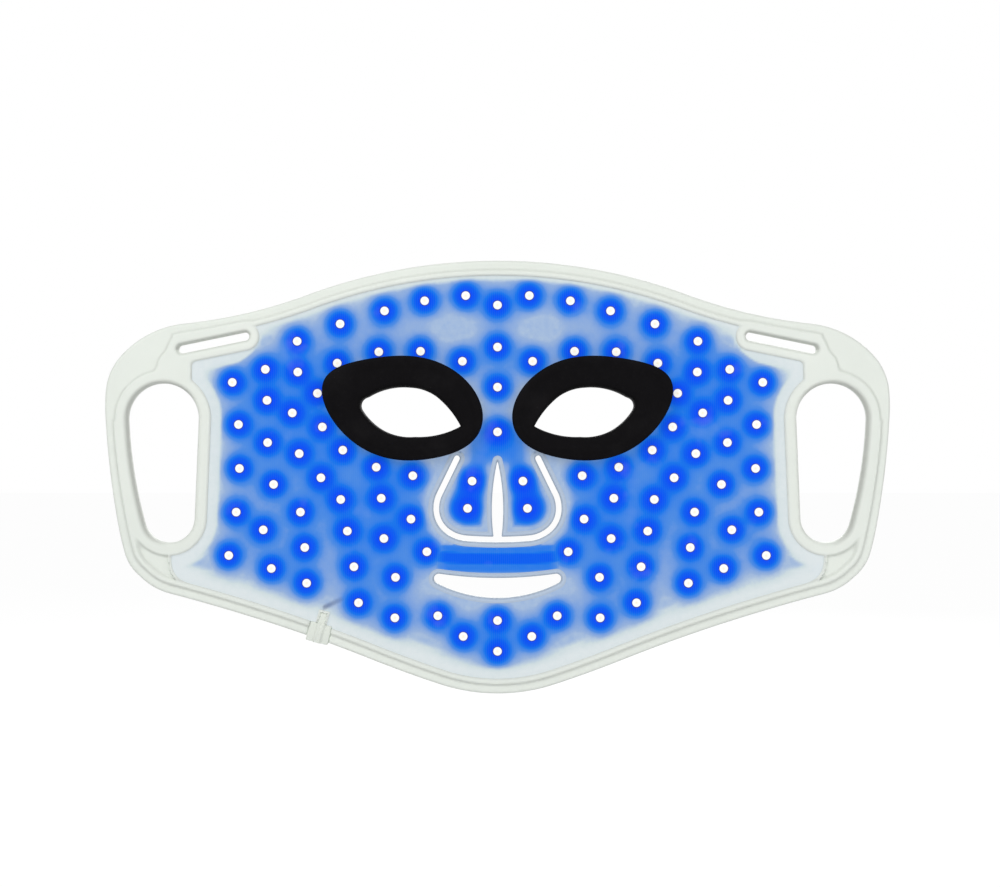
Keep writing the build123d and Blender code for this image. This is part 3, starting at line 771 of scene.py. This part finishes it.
def shell_back(x, z):
    """Depth of the flat outer face, rounded over at every edge."""
    return OUTER_FACE - 0.7 * round_over(-in_sheet(Fields(x, z)), 1.2) / 1.2


def leak(x, z):
    """How much light creeps into the silicone: most of it into the borders of the openings."""
    f = Fields(x, z)
    near = ease(2.4, 0.0, np.abs(f.pocket()))
    border = ease(3.4, 2.2, np.minimum(f.mouth, f.slit))
    return np.clip(near * (0.05 + 0.5 * np.clip(glow(x, z), 0, 1)) + 0.9 * border, 0, 1)


def crease(x, z):
    """Where painted shade goes: at both feet of the framing line and the rings, in the rounded edges of the
    side holes and slots, most on their outer and upper sides, and at the cut edges."""
    f = Fields(x, z)
    ax = np.abs(x)
    foot = 0.42 * ease(1.05, 0.1, np.abs(f.ridge() - 0.3)) + 0.26 * ease(0.9, 0.1, np.abs(f.pocket() - 0.2))
    turn = np.clip(0.25 + 0.75 * np.maximum(ease(158, 172, ax), ease(2, 10, z)), 0, 1)
    hole = turn * ease(2.6, 0.6, f.hole)
    slot = ease(1.9, 0.5, f.slot) * (0.45 + 0.55 * (z - STRAP_AT[1] > -(ax - STRAP_AT[0]) * 0.205))
    cut = 0.8 * ease(0.9, 0.2, np.minimum(f.mouth, f.slit)) + 0.3 * ease(1.0, 0.2, -f.edge)
    return np.clip(foot + hole + slot + cut, 0, 1)


def skin_front(x, z):
    """Depth of the skin: flat, bulging a little round each lamp and dropping at its border."""
    swell = np.zeros(x.shape)
    for lx, lz in all_lamps:
        swell += np.exp(-(np.hypot(x - lx, z - lz) / 3.2) ** 2)
    return SKIN_FRONT - 0.12 * swell + 0.15 * np.exp(np.minimum(Fields(x, z).pocket(), 0) / 1.2)


def tracks(x, z):
    """Copper tracks: a pad under every lamp and bands round it, from a wave of the distance to the
    nearest lamp, so neighbours' bands meet half way."""
    near = np.full(x.shape, 1e3)
    for lx, lz in all_lamps:
        near = np.minimum(near, np.hypot(x - lx, z - lz))
    return np.clip(ease(2.4, 2.0, near) + ease(0.55, 0.8, np.cos(near * 1.9)) * 0.8, 0, 1)


def flat(depth):
    """A surface at one depth."""
    return lambda x, z: depth + 0.0 * x


def repeated(part, places):
    """The points of a part, moved to every place on the sheet."""
    at = np.stack([places[:, 0], 0 * places[:, 0], places[:, 1]], 1)
    return (at[:, None, :] + part[None]).reshape(-1, 3)


def lamp_grid(name, places):
    """Square lamp packages between the skin and the circuit. Each is four squares, one inside or behind
    the other and joined by walls: the back, the front's outline, the lip of its cup and the cup's floor."""
    square = np.array([(-1, 0, -1), (1, 0, -1), (1, 0, 1), (-1, 0, 1)], float) * LAMP_HALF
    front = square + [0, SKIN_BACK, 0]
    back = square + [0, CIRCUIT_FRONT, 0]
    lip = front * [0.8, 1, 0.8]
    cup = front * [0.72, 1, 0.72] + [0, 0.25, 0]
    part = np.concatenate([back, front, lip, cup])
    walls = [(s + k, s + (k + 1) % 4, s + 4 + (k + 1) % 4, s + 4 + k) for s in (0, 4, 8) for k in range(4)]
    quads = np.array(walls + [(12, 13, 14, 15), (3, 2, 1, 0)])
    faces = (quads[None] + len(part) * np.arange(len(places))[:, None, None]).reshape(-1, 4)
    return make_mesh(name, repeated(part, places), faces, 30)


def window_discs(name, places):
    """Round windows: a profile from the crown of a low dome, over its edge and down into the skin,
    turned about each lamp's axis. Their outward share runs from 0 at the crown to 1 at the ring."""
    count = 20
    share = np.array([0.0, 0.25, 0.5, 0.74, 0.80, 0.86, 0.93, 1.0])
    radius = share * WINDOW_REACH
    depth = np.where(share < 0.78, 0.70 + 0.10 * (share / 0.78) ** 2, 0.82 + 0.06 * (share - 0.78) / 0.22)
    foot = SKIN_FRONT + 0.35
    turns = np.linspace(0, 2 * pi, count, endpoint=False)
    rings = [np.stack([r * np.cos(turns), 0 * turns + d, r * np.sin(turns)], 1)
             for r, d in [*zip(radius[1:], depth[1:]), (WINDOW_REACH, foot)]]
    part = np.concatenate([[[0, depth[0], 0]]] + rings + [[[0, foot, 0]]])
    outward = np.concatenate([[0], np.repeat(share[1:], count), np.ones(count + 1)])
    k = np.arange(count)
    after = (k + 1) % count
    first = 1 + count * np.arange(len(rings) - 1)[:, None]
    crown = np.stack([k * 0, 1 + k, 1 + after], 1)
    bands = np.stack([first + k, first + count + k, first + count + after, first + after], -1).reshape(-1, 4)
    last = len(part) - 1
    bottom = np.stack([last + 0 * k, last - count + after, last - count + k], 1)
    step = len(part) * np.arange(len(places))[:, None, None]
    faces = [f for group in (crown, bands, bottom)
             for f in (group[None] + step).reshape(-1, group.shape[1]).tolist()]
    return make_mesh(name, repeated(part, places), faces, 50, {"out": np.tile(outward, len(places))})


def stretch(side):
    """Both ends across, and both ends up, of the grid of one half of the sheet."""
    return ((0.0, SHEET_REACH) if side > 0 else (-SHEET_REACH, 0.0)), SHEET_Z


def bent(piece, side, *nodes):
    """The piece stands for its CAD nodes, which are hidden."""
    wing = "right_wing" if side > 0 else "left_wing"
    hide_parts(*nodes)
    side * (BEND - BEND_REACH) * MM
    side * (BEND + BEND_REACH) * MM
    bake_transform(piece)
    return piece


def turned(piece, side, *nodes):
    """The piece stands for its CAD nodes of a nose flap, which are hidden."""
    flap = "right_flap" if side > 0 else "left_flap"
    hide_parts(*nodes)
    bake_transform(piece)
    return piece


def on_side(places, side):
    """The lamps of one half, with those of the middle line given to the left half."""
    return places[places[:, 0] > 1] if side > 0 else places[places[:, 0] < 1]


def without_nose(f, level):
    """The level outside the window of the flaps, which it overlaps by a little."""
    return np.maximum(level, -nose_window(f) - WINDOW_LAP)


face_and_middle = np.concatenate([face_lamps, face_lamps * [-1, 1], middle_lamps])


def whole_sheet(x, z):
    """Negative on the sheet without its nose flaps."""
    return without_nose(Fields(x, z), in_sheet(Fields(x, z)))


def raised_parts(x, z):
    """The rim, rings and borders of the openings: the sheet outside the lit field."""
    return np.maximum(whole_sheet(x, z), -Fields(x, z).pocket())


def floor_of_pocket(x, z, grow=FILM_LAP):
    """Negative in the lit field, grown past its border."""
    return np.maximum(whole_sheet(x, z), Fields(x, z).pocket() - grow)


def inner_layer(x, z):
    """Negative on the films of the sheet, which stop short of the field's border."""
    return floor_of_pocket(x, z, -FILM_LAP)


def nose_flaps(x, z):
    """Negative on the nose flaps: inside their window and off the slits and the middle line."""
    return np.maximum(np.maximum(nose_window(Fields(x, z)), -Fields(x, z).slit), -np.abs(x))


def flap_border(x, z):
    """Negative on the flaps' raised borders."""
    return np.maximum(nose_flaps(x, z), -Fields(x, z).pocket())


def flap_field(x, z, grow=FILM_LAP):
    """Negative in the flaps' lit field, grown past its border."""
    return np.maximum(nose_flaps(x, z), Fields(x, z).pocket() - grow)


def flap_layer(x, z):
    """Negative on the flaps' films."""
    return flap_field(x, z, -FILM_LAP)


def shared(*plates):
    """The plates together, in the order that a mesh takes them."""
    points, faces, values = together(*plates)
    return points, faces, 40, values


def layers(name, side, fit, nodes, areas, spans, lamps, sink=0.0):
    """The six layers of one piece of the sheet, each standing for the nodes of that layer. A small sink
    keeps the faces of two pieces apart where one overlaps the other."""
    border, field, inner = areas
    fine, middle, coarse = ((0.6, 1.0, 1.6))
    # the shell carries the light that creeps in from the field, and its painted shade
    on_shell = {"leak": leak, "crease": crease}

    def finish_piece(finish, layer, obj):
        finish.on(fit(obj, side, *[f"{node}_{layer}" for node in nodes]))

    rim = plate(border, shell_front, shell_back, fine, *spans, on_shell)
    back = plate(field, flat(WALL_FRONT), flat(OUTER_FACE - BACK_SINK - sink), coarse, *spans, on_shell)
    finish_piece(shell, "shell", make_mesh(f"{name}_shell", *shared(rim, back)))
    sheet = plate(field, lambda x, z: skin_front(x, z) + sink, flat(SKIN_BACK), middle, *spans,
                  {"glow": glow, "lead": lead_shadow})
    finish_piece(skin, "skin", make_mesh(f"{name}_skin", *shared(sheet)))
    sheet = plate(inner, flat(SKIN_BACK), flat(CIRCUIT_FRONT), coarse, *spans)
    finish_piece(diffuser_film, "diffuser", make_mesh(f"{name}_diffuser", *shared(sheet)))
    sheet = plate(inner, flat(CIRCUIT_FRONT), flat(WALL_FRONT), middle, *spans, {"track": tracks})
    finish_piece(circuit_film, "circuit", make_mesh(f"{name}_circuit", *shared(sheet)))
    finish_piece(lamp_package, "lamp_chips", lamp_grid(f"{name}_lamps", lamps))
    finish_piece(window, "windows", window_discs(f"{name}_windows", lamps))


for side, hand in HANDS:
    layers(f"{hand}_half", side, bent, ("centre", f"{hand}_wing"),
           (raised_parts, floor_of_pocket, inner_layer), stretch(side), on_side(face_and_middle, side))
    layers(f"{hand}_nose_flap", side, turned, (f"{hand}_flap",), (flap_border, flap_field, flap_layer),
           ((0.0, FLAP_REACH) if side > 0 else (-FLAP_REACH, 0.0), FLAP_Z), flap_lamps * [side, 1], FLAP_SINK)


# ---------------------------------------------------------------- eye shields

def by_angle(loop, turns):
    """The points of a closed line at given angles about the eye's middle."""
    ring = even(loop, 4000)
    angle = np.arctan2(ring[:, 1] - EYE_MIDDLE[1], ring[:, 0] - EYE_MIDDLE[0]) % (2 * pi)
    order = np.argsort(angle)
    radius = np.hypot(*(ring - EYE_MIDDLE).T)[order]
    reach = np.interp(turns, angle[order], radius, period=2 * pi)
    return EYE_MIDDLE + np.stack([reach * np.cos(turns), reach * np.sin(turns)], 1)


def eye_shield(name, side):
    """A cushion ring. Its section starts on the skin at the outer line, climbs a rounded wall to a
    crown, falls a little to the bevel of the opening, and runs through the sheet as a neck. Its steps
    go inwards from the outer line on the wall, and outwards from the opening on the bevel and neck."""
    count = 220
    crown = SKIN_FRONT - SHIELD_HEIGHT
    wall_step, bevel_step = 2.2, 2.4
    wall = [(0.0, SKIN_FRONT + 0.4), (0.0, SKIN_FRONT - 0.6), (0.0, crown + 1.9), (0.12, crown + 1.2),
            (0.55, crown + 0.5), (1.2, crown + 0.12), (wall_step, crown)]
    top = [(0.3, crown + 0.06), (0.5, crown + 0.12), (0.68, crown + 0.22)]
    neck = [(bevel_step, crown + 0.35), (1.5, crown + 0.6), (0.7, crown + 1.2), (0.15, crown + 2.2),
            (0.0, crown + 3.2), (0.0, 0.0), (0.0, OUTER_FACE - 0.7), (0.25, OUTER_FACE - 0.2),
            (0.7, OUTER_FACE), (2.3, OUTER_FACE), (2.9, OUTER_FACE - 0.3), (NECK, SKIN_FRONT + 0.4)]
    turns = np.linspace(0, 2 * pi, count, endpoint=False)
    outer, inner = by_angle(eye_oval, turns), by_angle(eye_opening, turns)
    gap = np.hypot(*(outer - inner).T)
    inwards = (inner - outer) / gap[:, None]
    lines = [(outer + inwards * step, depth) for step, depth in wall]
    lines += [(outer + inwards * (wall_step + (gap - wall_step - bevel_step) * share)[:, None], depth)
              for share, depth in top]
    lines += [(inner - inwards * step, depth) for step, depth in neck]
    rings = np.array([np.stack([line[:, 0], np.full(count, depth), line[:, 1]], 1) for line, depth in lines])
    rings = rings * [side, 1, 1]
    return rings_to_mesh(name, rings[:, ::-1] if side > 0 else rings)


for side, hand in HANDS:
    piece = cushion.on(eye_shield(f"{hand}_eye_cushion", side))
    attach(piece, "centre")
    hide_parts(f"{hand}_eye_shield")


# ---------------------------------------------------------------- cable gland

def rounded(half_wide, half_deep, power, count=64):
    """Points round a rectangle with soft corners: where the sum of each share of the half size, raised
    to a power, is 1. A power of 2 on equal sides is a circle."""
    t = np.linspace(0, 2 * pi, count, endpoint=False) + pi / count
    shares = (np.abs(np.cos(t)) / half_wide) ** power + (np.abs(np.sin(t)) / half_deep) ** power
    reach = shares ** (-1 / power)
    return reach * np.cos(t), reach * np.sin(t)


def gland_body():
    """The gland, as sections along the cable: from the bore's inner mouth out over the sleeve, out over
    the block's shoulder to its outer end, and back in through the bore. The skin side carries a bead."""
    middle = OUTER_FACE / 2
    bore = (BORE, BORE, 2)
    block = (GLAND_HALF_WIDE, middle, 12)
    sleeve = [(-11.2, *bore), (-SLEEVE_END, 1.55, 1.55, 2), (-SLEEVE_END, 1.9, 1.6, 3), (-11.0, 2.2, 1.9, 3),
              (-8.0, 2.3, 2.0, 3), (-5.0, 2.4, 2.0, 3)]
    shoulder = [(-GLAND_HALF_DEEP, 2.6, 2.05, 4), (-GLAND_HALF_DEEP, 5.2, 2.35, 10), (-4.5, 5.45, 2.55, 12)]
    outer_end = [(4.6, 5.35, 2.5, 12), (GLAND_HALF_DEEP, 5.1, 2.3, 10), (GLAND_HALF_DEEP, 1.75, 1.75, 2),
                 (4.68, 1.5, 1.5, 2)]
    stations = sleeve + shoulder + [(out, *block) for out in (-2.0, 1.0, 4.2)] + outer_end
    stations += [(out, *bore) for out in (4.4, 0.0, -6.0)]
    rings = []
    for out, wide, deep, power in stations:
        u, d = rounded(wide, deep, power)
        flat_side = (d < 0) & (wide > 5)
        bead = 1.15 * (1 - ease(1.3, 2.2, np.abs(u))) - 0.35 * (1 - ease(0.0, 1.2, np.abs(u)))
        d = np.where(flat_side, np.maximum(d + 1.3, -1.3) - bead, d)
        place = GLAND_AT + GLAND_OUT * out + GLAND_SIDE * u[:, None]
        rings.append(np.stack([place[:, 0], middle + d, place[:, 1]], 1))
    return rings_to_mesh("cable_gland_body", rings)


piece = gland_rubber.on(gland_body())
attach(piece, "centre")
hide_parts("cable_gland")


# ---------------------------------------------------------------- pieces carried over

for node, finish, name in (("lead_wires", lead_insulation, "lead_insulation"),
                           ("control_board", board_laminate, "board_laminate"),
                           ("driver_chip", chip_body, "chip_body"),
                           ("resistors", resistor_body, "resistor_body"),
                           ("heat_sensor", sensor_body, "sensor_body")):
    finish.on(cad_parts[node])


# ---------------------------------------------------------------- floor, light and camera

def floor_sheet(height):
    """A plain pale floor. The camera, mirrors and glass see it white: most of what they see is its own
    white, and the rest is diffuse, which shows the object's shadow. The white is just over 1, so that
    both shares come to 1 where no shadow falls."""
    mesh = bpy.data.meshes.new("floor")
    mesh.from_pydata([(-6, -6, height), (6, -6, height), (6, 6, height), (-6, 6, height)], [], [(0, 1, 2, 3)])
    obj = bpy.data.objects.new("floor", mesh)
    bpy.context.collection.objects.link(obj)
    f = Finish("floor", Base_Color=(0.80, 0.80, 0.80, 1), Roughness=0.9, Specular_IOR_Level=0.0)
    white = f.node("ShaderNodeEmission", {}, (1, 1, 1, 1), 1.09)
    surface = f.node("ShaderNodeMixShader", {}, f.seen(0.0, 0.85), Wire(f, f.shader.outputs[0]), white)
    f.links.new(surface.socket, f.nodes["Material Output"].inputs["Surface"])
    f.on(obj)


def lamp(name, place, aim, size, power):
    """A soft white square lamp aimed at a place. It points along its own -Z, so it tilts by the angle
    from straight down and turns about Z to face the way."""
    data = bpy.data.lights.new(name, "AREA")
    data.shape, data.size, data.energy = "SQUARE", size, power
    obj = bpy.data.objects.new(name, data)
    obj.location = place
    way = np.array(aim, float) - place
    obj.rotation_euler = (atan2(hypot(way[0], way[1]), -way[2]), 0, atan2(-way[0], way[1]))
    bpy.context.collection.objects.link(obj)


def studio(unseen):
    """White all round, which lights the object less than it shows."""
    world = bpy.data.worlds.new("studio")
    world.use_nodes = True
    sky = Tree(world.node_tree)
    sky.nodes["Background"].inputs["Color"].default_value = (1, 1, 1, 1)
    sky.links.new(sky.seen(unseen, 1.0).socket, sky.nodes["Background"].inputs["Strength"])
    bpy.context.scene.world = world


floor_sheet(-0.26)
studio(0.46)
lamp("key_left", (-0.55, -0.9, 0.75), (0, 0, -0.03), 0.7, 6.6)
lamp("fill_right", (0.7, -0.9, 0.25), (0, 0, -0.03), 0.9, 3.0)
lamp("behind", (0.25, 0.95, 0.55), (0, 0, 0), 0.9, 6.0)

eye = bpy.data.cameras.new("camera")
eye.lens, eye.sensor_width = 48.4, 36.0
camera = bpy.data.objects.new("camera", eye)
camera.location = (0.0012, -0.65, -0.0162)
camera.rotation_euler = (pi / 2, 0, 0)
bpy.context.collection.objects.link(camera)
bpy.context.scene.camera = camera
bpy.context.scene.view_settings.view_transform = "Standard"
